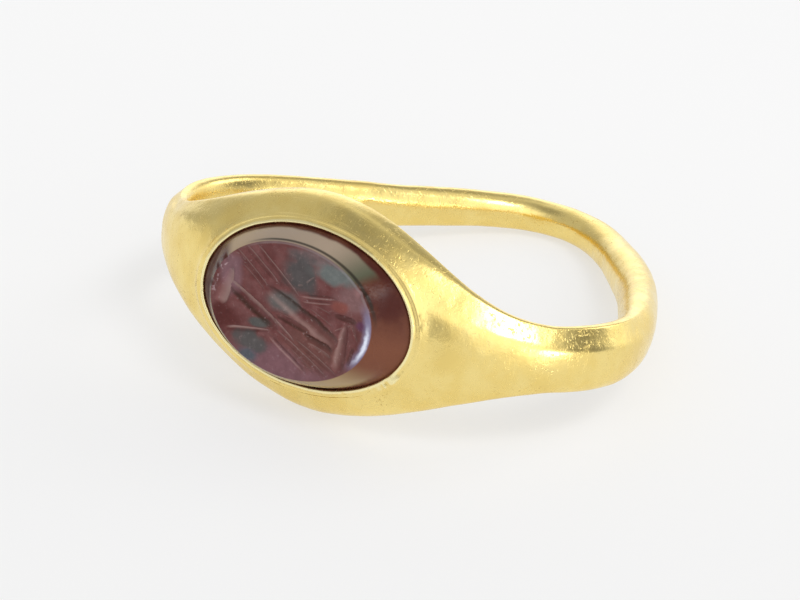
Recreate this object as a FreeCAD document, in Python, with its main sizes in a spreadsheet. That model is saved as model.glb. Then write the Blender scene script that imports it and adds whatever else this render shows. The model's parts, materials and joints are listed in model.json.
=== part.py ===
import FreeCAD, Part
import math
import os
import re

# A gold finger ring whose head holds an engraved oval stone, resting on a table.
# The worn ring lies flat in its own frame: the finger passes along Z and the head faces -Y.
# The setting has a frame of its own: Z points out of the head and is zero at the collar's rim.

doc = FreeCAD.newDocument("Ring")

# Driving dimensions in millimetres, angles in degrees
SIZES = [
    # The line along the middle of the bar, seen along the finger
    ("front_reach", 8.4, "middle of the bar, ring centre to head"),
    ("back_reach", 9.9, "middle of the bar, ring centre to back"),
    ("right_reach", 10.2, "middle of the bar, ring centre to right side"),
    ("left_reach", 10.1, "middle of the bar, ring centre to left side"),
    ("right_bend", 5.5, "radius of the bend at the right shoulder"),
    ("left_bend", 5.6, "radius of the bend at the left shoulder"),
    ("back_bend", 3.9, "radius of the bend at the back"),
    ("flank_bend", 6.3, "radius of the bend of the right flank, between shoulder and back"),
    ("flank_bulge", 0.7, "how far the right flank bows out from a straight run"),
    ("back_lean", -0.5, "how far the back bend sits to the right"),
    # The bar's width along the finger and its thickness across it
    ("head_width", 8.85, "bar width at the middle of the head"),
    ("side_width", 2.6, "bar width where the shoulders end"),
    ("back_width", 1.4, "bar width at the back"),
    ("head_outside", 1.5, "middle line to the outer face at the middle of the head"),
    ("head_inside", 0.8, "middle line to the inner face at the middle of the head"),
    ("side_thickness", 1.2, "bar thickness where the shoulders end"),
    ("back_thickness", 1.3, "bar thickness at the back"),
    ("width_swell", 10.7, "length over which the bar widens to the head"),
    ("thickness_swell", 9.4, "length over which the bar thickens to the head"),
    # The stone and its place in the head
    ("rim_rise", 1.0, "middle of the bar at the head to the collar's rim"),
    ("setting_right", -0.05, "how far the stone sits to the right"),
    ("setting_up", -0.13, "how far the stone sits along the finger"),
    ("setting_turn", 4.0, "how far the stone is turned in the head"),
    ("girdle_length", 10.2, "stone length at its widest"),
    ("girdle_width", 6.75, "stone width at its widest"),
    ("crown_run_ends", 1.2, "how far the crown slopes in at the stone's ends"),
    ("crown_run_sides", 0.625, "how far the crown slopes in at the stone's sides"),
    ("face_up", 0.12, "how far the face sits off the girdle's centre"),
    ("pavilion_run_ends", 0.45, "how far the stone tapers to its base at its ends"),
    ("pavilion_run_sides", 0.425, "how far the stone tapers to its base at its sides"),
    ("girdle_depth", 0.15, "girdle below the collar's rim"),
    ("crown_height", 1.3, "girdle to face"),
    ("pavilion_height", 0.85, "girdle to base"),
    ("face_edge_radius", 0.09, "worn edge of the face"),
    # The wheel cuts of the device
    ("broad_cut_width", 0.62, "width of the broad cuts"),
    ("broad_cut_depth", 0.24, "depth of the broad cuts"),
    ("middle_cut_width", 0.36, "width of the middle cuts"),
    ("middle_cut_depth", 0.15, "depth of the middle cuts"),
    ("fine_cut_width", 0.17, "width of the fine cuts"),
    ("fine_cut_depth", 0.08, "depth of the fine cuts"),
    # Collar, cement bed and the clearances of the setting
    ("fit_gap", 0.04, "room between the pieces of the setting"),
    ("collar_wall", 0.26, "thickness of the collar strip"),
    ("collar_depth", 0.5, "foot of the collar below its rim"),
    ("lip_rise", 0.05, "top of the rubbed-over lip above the rim"),
    ("lip_drop", 0.12, "start of the lip's rounded shoulder below the rim"),
    ("lip_inset", 0.09, "how far the lip leans in over the stone"),
    ("seam_gap", 0.06, "open butt joint of the collar strip"),
    ("seam_angle", -62.0, "place of the butt joint round the stone"),
    ("bed_thickness", 0.25, "cement under the stone"),
    ("ledge_width", 0.2, "ledge that the collar stands on"),
    ("overrun", 2.0, "how far cutting tools run past what they cut"),
]

# The bar's sections, as shares of the way round from the middle of the head
STATION_SHARES = [0, 0.05, 0.1, 0.15, 0.2, 0.26, 0.33, 0.41, 0.5, 0.59, 0.67, 0.74, 0.8, 0.85, 0.9, 0.95]

# Corners of the bar's section as shares of its reach out or in and of its half width.
# A plain oval would have 0.707 at its four diagonals, and the worked bar is a little fuller.
FULL_SHARE = 0.735
SECTION_SHARES = [
    (1, 0),
    (FULL_SHARE, FULL_SHARE),
    (0, 1),
    (-FULL_SHARE, FULL_SHARE),
    (-1, 0),
    (-FULL_SHARE, -FULL_SHARE),
    (0, -1),
    (FULL_SHARE, -FULL_SHARE),
]

# The device: each wheel cut runs from one point to another, in shares of the face's half length
# and half width. It is a sheaf of lines crossed by two hooked bolts, an old and common motif.
BROAD_CUT_SHARES = [
    ((-0.80, 0.42), (-0.90, -0.20)),
    ((-0.76, 0.18), (-0.16, -0.24)),
    ((-0.22, 0.16), (0.64, -0.36)),
    ((0.80, 0.02), (0.62, -0.62)),
]
MIDDLE_CUT_SHARES = [
    ((-0.22, -0.10), (0.24, -0.22)),
    ((0.22, -0.30), (0.58, -0.44)),
    ((0.52, 0.12), (0.78, 0.09)),
]
FINE_CUT_SHARES = [
    ((-0.76, 0.56), (-0.24, 0.20)),
    ((-0.66, 0.66), (-0.14, 0.28)),
    ((-0.56, 0.76), (0.06, 0.22)),
    ((-0.20, -0.40), (0.22, -0.78)),
    ((-0.12, -0.34), (0.52, -0.80)),
    ((0.02, -0.34), (0.68, -0.72)),
    ((0.10, 0.22), (0.58, 0.36)),
    ((-0.24, -0.34), (-0.72, -0.50)),
]
# The bevel on each edge of the thicker wheels' rims, as a share of the wheel's thickness
WHEEL_BEVEL_SHARE = 0.3

sheet = doc.addObject("Spreadsheet::Sheet", "Sizes")
for row, (alias, value, words) in enumerate(SIZES, start=1):
    sheet.set(f"A{row}", words)
    sheet.set(f"B{row}", str(value))
    sheet.setAlias(f"B{row}", alias)
doc.recompute()


def size(alias):
    """A driving dimension, read back from the sheet."""
    return float(sheet.get(alias))


def bind(thing, prop, formula):
    """Ties one property to a formula of the sheet's aliases."""
    thing.setExpression(prop, re.sub(r"[a-z]\w*", r"Sizes.\g<0>", formula))


# The bar's middle line: four bends joined by straight runs


def run_between(start, start_radius, end, end_radius):
    """The straight run that touches two bends on their outside: its ends and its outward normal."""
    step = end - start
    along = step / step.Length
    lean = (start_radius - end_radius) / step.Length
    outward = FreeCAD.Vector(along.y, -along.x, 0) * math.sqrt(1 - lean**2) + along * lean
    return start + outward * start_radius, end + outward * end_radius, outward


def middle_line():
    """Edges of the closed middle line, counter-clockwise from the right bend."""
    right, left, back, flank = size("right_bend"), size("left_bend"), size("back_bend"), size("flank_bend")
    shoulder_centre = FreeCAD.Vector(size("right_reach") - right, right - size("front_reach"), 0)
    back_centre = FreeCAD.Vector(size("back_lean"), size("back_reach") - back, 0)
    # The flank bows out from the middle of the run that would join the shoulder and the back
    start, end, outward = run_between(shoulder_centre, right, back_centre, back)
    bends = [
        (shoulder_centre, right),
        ((start + end) / 2 + outward * (size("flank_bulge") - flank), flank),
        (back_centre, back),
        (FreeCAD.Vector(left - size("left_reach"), left - size("front_reach"), 0), left),
    ]
    runs = [run_between(*bends[i], *bends[(i + 1) % len(bends)]) for i in range(len(bends))]
    edges = []
    for i, (centre, radius) in enumerate(bends):
        before, after = runs[i - 1], runs[i]
        halfway = centre + (before[2] + after[2]).normalize() * radius
        edges.append(Part.Arc(before[1], halfway, after[0]).toShape())
        edges.append(Part.LineSegment(after[0], after[1]).toShape())
    return edges


def place_at(edges, distance):
    """The point and the direction of travel at a distance along the closed line."""
    distance %= sum(edge.Length for edge in edges)
    for edge in edges:
        if distance <= edge.Length:
            spot = edge.getParameterByLength(distance)
            return edge.valueAt(spot), edge.tangentAt(spot)
        distance -= edge.Length
    return edges[0].valueAt(edges[0].FirstParameter), edges[0].tangentAt(edges[0].FirstParameter)


def swell(distance, reach):
    """One at the middle of the head, falling smoothly to zero at the given reach."""
    return math.cos(math.pi / 2 * min(distance / reach, 1)) ** 2


def eased(share):
    """Zero to one with level ends."""
    share = min(max(share, 0), 1)
    return share * share * (3 - 2 * share)


def bar_section(distance, half_round):
    """The bar's half width and its reach out and in, at a distance from the middle of the head."""
    distance = min(distance, 2 * half_round - distance)
    back = eased((distance - size("width_swell")) / (half_round - size("width_swell")))
    width = size("side_width") + (size("back_width") - size("side_width")) * back
    width += (size("head_width") - size("side_width")) * swell(distance, size("width_swell"))
    side = size("side_thickness") / 2
    plain = side + (size("back_thickness") / 2 - side) * back
    thicker = swell(distance, size("thickness_swell"))
    outside = plain + (size("head_outside") - side) * thicker
    inside = plain + (size("head_inside") - side) * thicker
    return width / 2, outside, inside


def closed_curve(points, stops):
    """A smooth closed curve that passes each point at its stop. The last stop is the first point again."""
    curve = Part.BSplineCurve()
    curve.interpolate(Points=points, PeriodicFlag=True, Parameters=stops)
    return curve


def bar_solid():
    """The bar as one closed skin over its sections, smooth both round the ring and round the bar."""
    edges = middle_line()
    round_length = sum(edge.Length for edge in edges)
    finger = FreeCAD.Vector(0, 0, 1)
    head_start = round_length - edges[-1].valueAt(edges[-1].LastParameter).x
    stations = [share * round_length for share in STATION_SHARES]
    corners = [float(corner) for corner in range(len(SECTION_SHARES) + 1)]
    sections = []
    for station in stations:
        centre, travel = place_at(edges, head_start + station)
        outward = travel.cross(finger)
        half_width, outside, inside = bar_section(station, round_length / 2)
        points = []
        for out_share, up_share in SECTION_SHARES:
            reach = outside if out_share > 0 else inside
            points.append(centre + outward * (reach * out_share) + finger * (half_width * up_share))
        sections.append(closed_curve(points, corners))
    rails = []
    for pole in range(1, sections[0].NbPoles + 1):
        rails.append(closed_curve([section.getPole(pole) for section in sections], stations + [round_length]))
    across, along = sections[0], rails[0]
    skin = Part.BSplineSurface()
    skin.buildFromPolesMultsKnots(
        [rail.getPoles() for rail in rails],
        across.getMultiplicities(),
        along.getMultiplicities(),
        across.getKnots(),
        along.getKnots(),
        True,
        True,
        across.Degree,
        along.Degree,
    )
    # The skin is kept as four strips that meet along the middles and the two edges of the bar
    strips = []
    for first, last in zip(corners[:-1:2], corners[2::2]):
        strip = skin.copy()
        strip.segment(first, last, 0, round_length)
        strips.append(strip.toShape())
    closed_skin = Part.makeCompound(strips)
    closed_skin.sewShape()
    solid = Part.Solid(closed_skin.Shells[0])
    if solid.Volume < 0:
        solid.reverse()
    return solid


# The setting's pieces are lofts between ovals, each at its own level


def oval(name, length, width, level, up="0"):
    """An oval across the setting: its length lies across the finger."""
    ring = doc.addObject("Part::Ellipse", name)
    bind(ring, "MajorRadius", f"({length}) / 2")
    bind(ring, "MinorRadius", f"({width}) / 2")
    bind(ring, "Placement.Base.y", up)
    bind(ring, "Placement.Base.z", level)
    return ring


def loft(name, ovals):
    """A solid with straight sides from each oval to the next."""
    solid = doc.addObject("Part::Loft", name)
    solid.Sections = ovals
    solid.Solid = True
    solid.Ruled = True
    return solid


def block(name, length, width, bottom, top):
    """An oval block with upright sides."""
    solid = doc.addObject("Part::Extrusion", name)
    solid.Base = oval(f"{name}_oval", length, width, bottom)
    solid.DirMode = "Custom"
    solid.Dir = FreeCAD.Vector(0, 0, 1)
    solid.Solid = True
    bind(solid, "LengthFwd", f"{top} - ({bottom})")
    return solid


def cut(name, base, tool):
    """What is left of the base after the tool has cut it."""
    rest = doc.addObject("Part::Cut", name)
    rest.Base = base
    rest.Tool = tool
    return rest


def fuse(name, pieces):
    """Several solids as one."""
    whole = doc.addObject("Part::MultiFuse", name)
    whole.Shapes = pieces
    return whole


FACE_LENGTH = "girdle_length - 2 * crown_run_ends"
FACE_WIDTH = "girdle_width - 2 * crown_run_sides"
BASE_LENGTH = "girdle_length - 2 * pavilion_run_ends"
BASE_WIDTH = "girdle_width - 2 * pavilion_run_sides"


def wheel_cut(name, start, end, width, depth, bevelled):
    """One cut of the engraver's wheel, a small disc that dips into the face."""
    half_length = size("girdle_length") / 2 - size("crown_run_ends")
    half_width = size("girdle_width") / 2 - size("crown_run_sides")
    first = FreeCAD.Vector(start[0] * half_length, start[1] * half_width, 0)
    last = FreeCAD.Vector(end[0] * half_length, end[1] * half_width, 0)
    middle, run = (first + last) / 2, last - first
    disc = doc.addObject("Part::Cylinder", name)
    # The circle that is as deep as the cut at its middle and meets the face at both its ends
    bind(disc, "Radius", f"({run.Length / 2}^2 + {depth}^2) / (2 * {depth})")
    bind(disc, "Height", width)
    doc.recompute()
    sideways = FreeCAD.Vector(-run.y, run.x, 0).normalize()
    level = size("crown_height") - size("girdle_depth") + disc.Radius.Value - size(depth)
    disc.Placement = FreeCAD.Placement(
        FreeCAD.Vector(middle.x, middle.y + size("face_up"), level) - sideways * (size(width) / 2),
        FreeCAD.Rotation(FreeCAD.Vector(0, 0, 1), sideways),
    )
    if not bevelled:
        return disc
    doc.recompute()
    bevel = size(width) * WHEEL_BEVEL_SHARE
    wheel = doc.addObject("Part::Chamfer", f"{name}_bevelled")
    wheel.Base = disc
    wheel.Edges = [
        (number, bevel, bevel)
        for number, edge in enumerate(disc.Shape.Edges, start=1)
        if isinstance(edge.Curve, Part.Circle)
    ]
    return wheel


def engraving():
    """All the wheel cuts of the device as one tool."""
    kinds = [
        ("broad_cut", BROAD_CUT_SHARES, True),
        ("middle_cut", MIDDLE_CUT_SHARES, True),
        ("fine_cut", FINE_CUT_SHARES, False),
    ]
    cuts = []
    for kind, shares, bevelled in kinds:
        for number, (start, end) in enumerate(shares, start=1):
            cuts.append(wheel_cut(f"{kind}_{number}", start, end, f"{kind}_width", f"{kind}_depth", bevelled))
    return fuse("device", cuts)


def make_gem():
    """The stone: flat base, girdle, sloping crown and a flat face with a worn edge and the device."""
    blank = loft("stone_blank", [
        oval("stone_base", BASE_LENGTH, BASE_WIDTH, "-girdle_depth - pavilion_height"),
        oval("stone_girdle", "girdle_length", "girdle_width", "-girdle_depth"),
        oval("stone_face", FACE_LENGTH, FACE_WIDTH, "crown_height - girdle_depth", "face_up"),
    ])
    doc.recompute()
    face_level = size("crown_height") - size("girdle_depth")
    tolerance = size("face_edge_radius") / 2
    radius = size("face_edge_radius")
    worn = doc.addObject("Part::Fillet", "stone_worn")
    worn.Base = blank
    worn.Edges = [
        (number, radius, radius)
        for number, edge in enumerate(blank.Shape.Edges, start=1)
        if edge.BoundBox.ZMin > face_level - tolerance
    ]
    return cut("gem", worn, engraving())


def make_collar():
    """The strip round the stone, leaning in over the girdle, with its open butt joint."""
    outer_length = "girdle_length + 2 * (fit_gap + collar_wall)"
    outer_width = "girdle_width + 2 * (fit_gap + collar_wall)"
    outside = loft("collar_outside", [
        oval("collar_foot", outer_length, outer_width, "-collar_depth"),
        oval("collar_shoulder", outer_length, outer_width, "-lip_drop"),
        oval("collar_top", f"{outer_length} - 2 * lip_inset", f"{outer_width} - 2 * lip_inset", "lip_rise"),
    ])
    # Above the girdle the inside follows the slope of the stone's crown
    climb = "(girdle_depth + lip_rise + overrun / 10) / crown_height"
    inside = loft("collar_inside", [
        oval("inside_foot", "girdle_length + 2 * fit_gap", "girdle_width + 2 * fit_gap", "-collar_depth - overrun"),
        oval("inside_girdle", "girdle_length + 2 * fit_gap", "girdle_width + 2 * fit_gap", "-girdle_depth"),
        oval(
            "inside_top",
            f"girdle_length + 2 * fit_gap - 2 * crown_run_ends * {climb}",
            f"girdle_width + 2 * fit_gap - 2 * crown_run_sides * {climb}",
            "lip_rise + overrun / 10",
            f"face_up * {climb}",
        ),
    ])
    seam = doc.addObject("Part::Box", "collar_seam")
    bind(seam, "Length", "girdle_length + overrun")
    bind(seam, "Width", "seam_gap")
    bind(seam, "Height", "collar_depth + lip_rise + 2 * overrun")
    bind(seam, "Placement.Base.z", "-collar_depth - overrun")
    seam.Placement.Rotation = FreeCAD.Rotation(FreeCAD.Vector(0, 0, 1), size("seam_angle"))
    return cut("collar", cut("collar_ring", outside, inside), seam)


BED_LENGTH = "girdle_length + 2 * (fit_gap + collar_wall - ledge_width)"
BED_WIDTH = "girdle_width + 2 * (fit_gap + collar_wall - ledge_width)"
FLOOR_LEVEL = "-girdle_depth - pavilion_height - bed_thickness"


def make_bedding():
    """The cement: a shallow cup that fills the cell under the collar and holds the stone's base."""
    fill = block("bed_fill", BED_LENGTH, BED_WIDTH, FLOOR_LEVEL, "-collar_depth")
    seat = loft("bed_seat", [
        oval("seat_base", BASE_LENGTH, BASE_WIDTH, "-girdle_depth - pavilion_height"),
        oval("seat_girdle", "girdle_length + 2 * fit_gap", "girdle_width + 2 * fit_gap", "-girdle_depth"),
    ])
    return cut("bedding", fill, seat)


def make_cell():
    """The hollow sunk into the head: a wide recess for the collar over a narrower one for the cement."""
    well = block("cell_well", f"{BED_LENGTH} + 2 * fit_gap", f"{BED_WIDTH} + 2 * fit_gap", FLOOR_LEVEL, "overrun")
    outer_length = "girdle_length + 2 * (2 * fit_gap + collar_wall)"
    outer_width = "girdle_width + 2 * (2 * fit_gap + collar_wall)"
    recess = block("cell_recess", outer_length, outer_width, "-collar_depth", "overrun")
    return fuse("cell", [well, recess])


def lean_at_rest():
    """How far the ring tips back when its head's lower edge and its back both touch the table."""
    lean = 0
    for _ in range(len(STATION_SHARES)):
        head = math.hypot(size("head_width") / 2 * math.cos(lean), size("head_inside") * math.sin(lean))
        back = math.hypot(size("back_width") * math.cos(lean), size("back_thickness") * math.sin(lean)) / 2
        lean = math.asin((head - back) / (size("front_reach") + size("back_reach")))
    return math.degrees(lean)


across_finger = FreeCAD.Vector(1, 0, 0)
setting_place = FreeCAD.Placement(
    FreeCAD.Vector(size("setting_right"), -size("front_reach") - size("rim_rise"), size("setting_up")),
    FreeCAD.Rotation(across_finger, 90).multiply(
        FreeCAD.Rotation(FreeCAD.Vector(0, 0, 1), size("setting_turn"))
    ),
)

bar = doc.addObject("Part::Feature", "bar")
bar.Shape = bar_solid()
cell = make_cell()
cell.Placement = setting_place
hoop = cut("hoop", bar, cell)
gem = make_gem()
collar = make_collar()
bedding = make_bedding()
setting_pieces = [gem, collar, bedding]
sub_parts = [hoop] + setting_pieces
doc.recompute()


def rest_on_table():
    """Tips the ring back and sets the origin under the middle of its box, at the table."""
    tip = FreeCAD.Placement(FreeCAD.Vector(), FreeCAD.Rotation(across_finger, -lean_at_rest()))
    hoop.Placement = tip
    for piece in setting_pieces:
        piece.Placement = tip.multiply(setting_place)
    doc.recompute()
    box = Part.makeCompound([piece.Shape for piece in sub_parts]).optimalBoundingBox(False, False)
    lift = FreeCAD.Placement(FreeCAD.Vector(-box.Center.x, -box.Center.y, -box.ZMin), FreeCAD.Rotation())
    for piece in sub_parts:
        piece.Placement = lift.multiply(piece.Placement)
    doc.recompute()


rest_on_table()

for thing in doc.Objects:
    if "Invalid" in thing.State or "Error" in thing.State:
        raise RuntimeError(f"{thing.Name} failed: {thing.State}")
for piece in sub_parts:
    piece.Label = piece.Name
    if piece.Shape.isNull() or not piece.Shape.isValid():
        raise RuntimeError(f"{piece.Label} has no valid shape")

os.makedirs("parts", exist_ok=True)
for piece in sub_parts:
    piece.Shape.exportStep(f"parts/{piece.Label}.step")
    print(piece.Label, "volume", round(piece.Shape.Volume, 3), "solids", len(piece.Shape.Solids))
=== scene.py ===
import json
import math
from collections import namedtuple

import bpy
from mathutils import Matrix, Vector, noise


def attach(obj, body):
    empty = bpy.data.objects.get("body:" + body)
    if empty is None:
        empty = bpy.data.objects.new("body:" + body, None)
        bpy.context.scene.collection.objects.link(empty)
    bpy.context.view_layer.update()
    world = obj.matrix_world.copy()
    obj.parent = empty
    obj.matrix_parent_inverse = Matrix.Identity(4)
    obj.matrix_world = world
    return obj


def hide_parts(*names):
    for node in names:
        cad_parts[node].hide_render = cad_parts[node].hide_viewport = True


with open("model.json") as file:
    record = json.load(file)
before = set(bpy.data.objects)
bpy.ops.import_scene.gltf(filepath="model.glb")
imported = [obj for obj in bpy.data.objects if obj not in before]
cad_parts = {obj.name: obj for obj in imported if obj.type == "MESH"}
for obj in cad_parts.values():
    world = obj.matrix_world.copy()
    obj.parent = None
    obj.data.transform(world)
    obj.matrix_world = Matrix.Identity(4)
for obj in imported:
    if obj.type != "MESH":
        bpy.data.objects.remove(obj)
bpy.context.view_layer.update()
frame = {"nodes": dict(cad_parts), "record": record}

# Pieces are modelled in millimetres and brought to the frame's metres when they are settled.
MM = 0.001

# Where things are. The setting's frame has Z out of the head and is zero at the collar's rim.
# The ring's frame has the finger along Z and the head towards -Y.
SEAL_POINT = Vector((0.39, 1.77, 1.15))
SETTING_TURN = math.radians(4)
SETTING_IN_RING = Vector((-0.05, -9.4, -0.13))

seal = next(mount for mount in frame["record"]["mounts"] if mount["name"] == "seal_face")
lean = math.asin(seal["axis"][2])
ring_turn = Matrix.Rotation(-lean, 4, "X")
setting_turn = ring_turn @ Matrix.Rotation(math.pi / 2, 4, "X") @ Matrix.Rotation(SETTING_TURN, 4, "Z")
setting_origin = Vector(seal["pos_m"]) / MM - setting_turn @ SEAL_POINT
ring_centre = setting_origin - ring_turn @ SETTING_IN_RING
SETTING = Matrix.Translation(setting_origin) @ setting_turn
RING = Matrix.Translation(ring_centre) @ ring_turn
RING_TO_SETTING = SETTING.inverted() @ RING
SETTING_TO_RING = RING_TO_SETTING.inverted()

# The bar's middle line: its reach from the ring's centre, the radii of its bends, how far the back's bend
# lies to the left, the flatter bend of the right flank and how widely hammering has eased the joins
FRONT_REACH, BACK_REACH, RIGHT_REACH, LEFT_REACH = 8.4, 9.9, 10.2, 10.1
RIGHT_BEND, LEFT_BEND, BACK_BEND, BACK_LEAN = 5.5, 5.6, 3.9, -0.5
FLANK_BEND, FLANK_BULGE = 6.3, 0.7
LINE_SOFTNESS = 2.0

# The bar's sections: widths, thicknesses, and how far from the middle of the head it swells
HEAD_WIDTH, SIDE_WIDTH, BACK_WIDTH = 8.85, 2.6, 1.4
HEAD_OUTSIDE, HEAD_INSIDE, SIDE_THICKNESS, BACK_THICKNESS = 1.5, 0.8, 1.2, 1.3
WIDTH_SWELL, THICKNESS_SWELL = 10.7, 9.4

# How square the sections are. The upper inner quarter turns round towards the back, this much sooner than
# the bar reaches its back width.
SECTION_POWER, INNER_POWER, BACK_POWER, INNER_HASTE = 2.25, 2.9, 2.0, 1.5

# How far the crest lies inside the middle line, at the head and at the back, where it changes, and the
# share of the half width on both sides of the middle over which the shift comes in
HEAD_CREST, BACK_CREST, CREST_START, CREST_END, CREST_BLEND_SHARE = 0.42, 0.06, 4, 13, 0.3

# Extra metal on the right flank, inside, outside and up and down
FLANK_STATION, FLANK_SPREAD = 20.5, 6.5
FLANK_INSIDE, FLANK_OUTSIDE, FLANK_RISE = 0.26, 0.14, 0.07

# Extra metal on the right shoulder's upper edge
EDGE_STATION, EDGE_SPREAD, EDGE_RISE = 10.5, 4, 0.1

# Extra metal at the back, inside and at its lower edge, and the share of the round that it takes to fade
BACK_INSIDE, BACK_DROP, BACK_SHARE = 0.12, 0.04, 0.22

# How much lower the lower edge lies on the right shoulder than in the middle, and higher on the left
EDGE_TILT, TILT_STATION = 0.06, 8

# The stone, its collar and the cell they sit in
GIRDLE = Vector((5.1, 3.375))
FACE = Vector((3.9, 2.75))
BASE = Vector((4.65, 2.95))
FACE_UP = 0.12
FACE_LEVEL, GIRDLE_LEVEL, BASE_LEVEL = 1.15, -0.15, -1.0
FACE_EDGE, EDGE_TURN = 0.07, math.radians(52)
GIRDLE_THICKNESS = 0.1
CROWN_BULGE = 0.05
LOWER_SHARE = 0.925
COLLAR_ROOM = 0.04
COLLAR_WALL = 0.26
COLLAR_REACH = COLLAR_ROOM + COLLAR_WALL
COLLAR_OUTER = GIRDLE + Vector((1, 1)) * COLLAR_REACH
COLLAR_FOOT, COLLAR_TOP = -0.5, 0.05
CELL_FLOOR, CELL_HEIGHT = -1.25, 4
LEDGE = 0.2

# How finely the pieces are divided
BAR_SEGMENTS, SECTION_SEGMENTS = 220, 44
CELL_SEGMENTS = 200
COLLAR_SEGMENTS, WALL_SEGMENTS = 256, 40
FACE_COLUMNS, FACE_ROWS = 250, 190
EDGE_STEPS, CROWN_STEPS = 6, 12

# The angles in degrees from which an edge stays sharp
HOOP_SHARP, COLLAR_SHARP, STONE_SHARP = 35, 60, 50

# The camera, from the ring's centre: angles in degrees, places in millimetres, and how near and how far
# it sees in metres
CAMERA_TURN, CAMERA_RISE, CAMERA_ROLL = 35.08, 27.27, 2.01
CAMERA_DISTANCE = 318.85
CAMERA_RIGHT, CAMERA_UP = -1.7, -1.41
CAMERA_LENS, CAMERA_SENSOR = 356.4, 36
CAMERA_NEAR, CAMERA_FAR = 0.01, 10


# Helpers for meshes


def take(name):
    """The object that was just added, under its own name and alone in the selection."""
    piece = bpy.context.object
    piece.name = name
    piece.data.name = name
    bpy.ops.object.select_all(action="DESELECT")
    piece.select_set(True)
    return piece


def settle(piece, place):
    """Brings a finished piece from millimetres in its own frame to its place in metres."""
    bpy.ops.object.select_all(action="DESELECT")
    piece.select_set(True)
    bpy.context.view_layer.objects.active = piece
    piece.matrix_world = Matrix.Scale(MM, 4) @ place
    bpy.ops.object.transform_apply(location=True, rotation=True, scale=True)


def carve(piece, tool):
    """Cuts the tool out of the piece and throws the tool away."""
    bpy.context.view_layer.objects.active = piece
    modifier = piece.modifiers.new("cut", "BOOLEAN")
    modifier.operation = "DIFFERENCE"
    modifier.solver = "EXACT"
    modifier.object = tool
    bpy.ops.object.modifier_apply(modifier=modifier.name)
    bpy.data.objects.remove(tool)


def smooth(piece, angle):
    """Smooth shading that keeps the edges sharper than an angle in degrees."""
    bpy.ops.object.select_all(action="DESELECT")
    piece.select_set(True)
    bpy.context.view_layer.objects.active = piece
    bpy.ops.object.shade_smooth_by_angle(angle=math.radians(angle))


# Helpers for shapes

# Past this many softnesses from its middle, a rounded corner is straight enough to stop counting
SOFT_LIMIT = 30


def eased(share):
    """Zero to one with level ends."""
    share = min(max(share, 0), 1)
    return share * share * (3 - 2 * share)


def bell(distance, spread):
    """One at no distance, falling softly to nothing on both sides."""
    return math.exp(-((distance / spread) ** 2))


def soft_above(height, softness):
    """Nothing below zero and the height above it, with a rounded corner between."""
    return softness * math.log1p(math.exp(max(min(height / softness, SOFT_LIMIT), -SOFT_LIMIT)))


def unevenness(point, layers):
    """Signed noise at a point, in layers of a height, a number of features per unit and a seed."""
    total = 0
    for height, scale, seed in layers:
        total += height * noise.noise(Vector(point) * scale + Vector((seed, 0, 0)))
    return total


def turned_from(turn, middle):
    """The signed angle from a middle to a turn, the short way round."""
    return (turn - middle + math.pi) % (2 * math.pi) - math.pi


# The middle line of the hoop, counter-clockwise from its right bend

Bend = namedtuple("Bend", "length centre radius first_turn")
Run = namedtuple("Run", "length start end outward")


def outward_between(start, radius, end, next_radius):
    """The outward normal of the straight run that touches two bends on their outside."""
    along = (end - start).normalized()
    tilt = (radius - next_radius) / (end - start).length
    return Vector((along.y, -along.x, 0)) * math.sqrt(1 - tilt**2) + along * tilt


def middle_line():
    """The closed middle line: bends and the straight runs that join them."""
    shoulder = Vector((RIGHT_REACH - RIGHT_BEND, RIGHT_BEND - FRONT_REACH, 0))
    back = Vector((BACK_LEAN, BACK_REACH - BACK_BEND, 0))
    outward = outward_between(shoulder, RIGHT_BEND, back, BACK_BEND)
    run_middle = (shoulder + back + outward * (RIGHT_BEND + BACK_BEND)) / 2
    bends = [
        (shoulder, RIGHT_BEND),
        (run_middle + outward * (FLANK_BULGE - FLANK_BEND), FLANK_BEND),
        (back, BACK_BEND),
        (Vector((LEFT_BEND - LEFT_REACH, LEFT_BEND - FRONT_REACH, 0)), LEFT_BEND),
    ]
    outwards = [outward_between(*bends[i], *bends[(i + 1) % len(bends)]) for i in range(len(bends))]
    line = []
    for i, (centre, radius) in enumerate(bends):
        first = math.atan2(outwards[i - 1].y, outwards[i - 1].x)
        last = math.atan2(outwards[i].y, outwards[i].x)
        sweep = (last - first) % (2 * math.pi)
        line.append(Bend(radius * sweep, centre, radius, first))
        next_centre, next_radius = bends[(i + 1) % len(bends)]
        start = centre + outwards[i] * radius
        end = next_centre + outwards[i] * next_radius
        line.append(Run((end - start).length, start, end, outwards[i]))
    return line


def point_at(line, distance):
    """The point of the middle line at a distance along it."""
    for part in line:
        if distance <= part.length:
            break
        distance -= part.length
    if isinstance(part, Bend):
        turn = part.first_turn + min(distance, part.length) / part.radius
        return part.centre + Vector((math.cos(turn), math.sin(turn), 0)) * part.radius
    return part.start.lerp(part.end, min(distance / part.length, 1))


def round_about(points):
    """The length of a closed row of points."""
    return sum((points[i] - points[i - 1]).length for i in range(len(points)))


def softened(points):
    """A closed row of points, each drawn to the mean of its neighbours, as far as three spreads away."""
    spread = LINE_SOFTNESS / (round_about(points) / len(points))
    reach = int(3 * spread)
    steps = range(-reach, reach + 1)
    weights = [math.exp(-((step / spread) ** 2) / 2) for step in steps]
    row = []
    for i in range(len(points)):
        total = Vector((0, 0, 0))
        for step, weight in zip(steps, weights):
            total += points[(i + step) % len(points)] * weight
        row.append(total / sum(weights))
    return row


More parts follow.
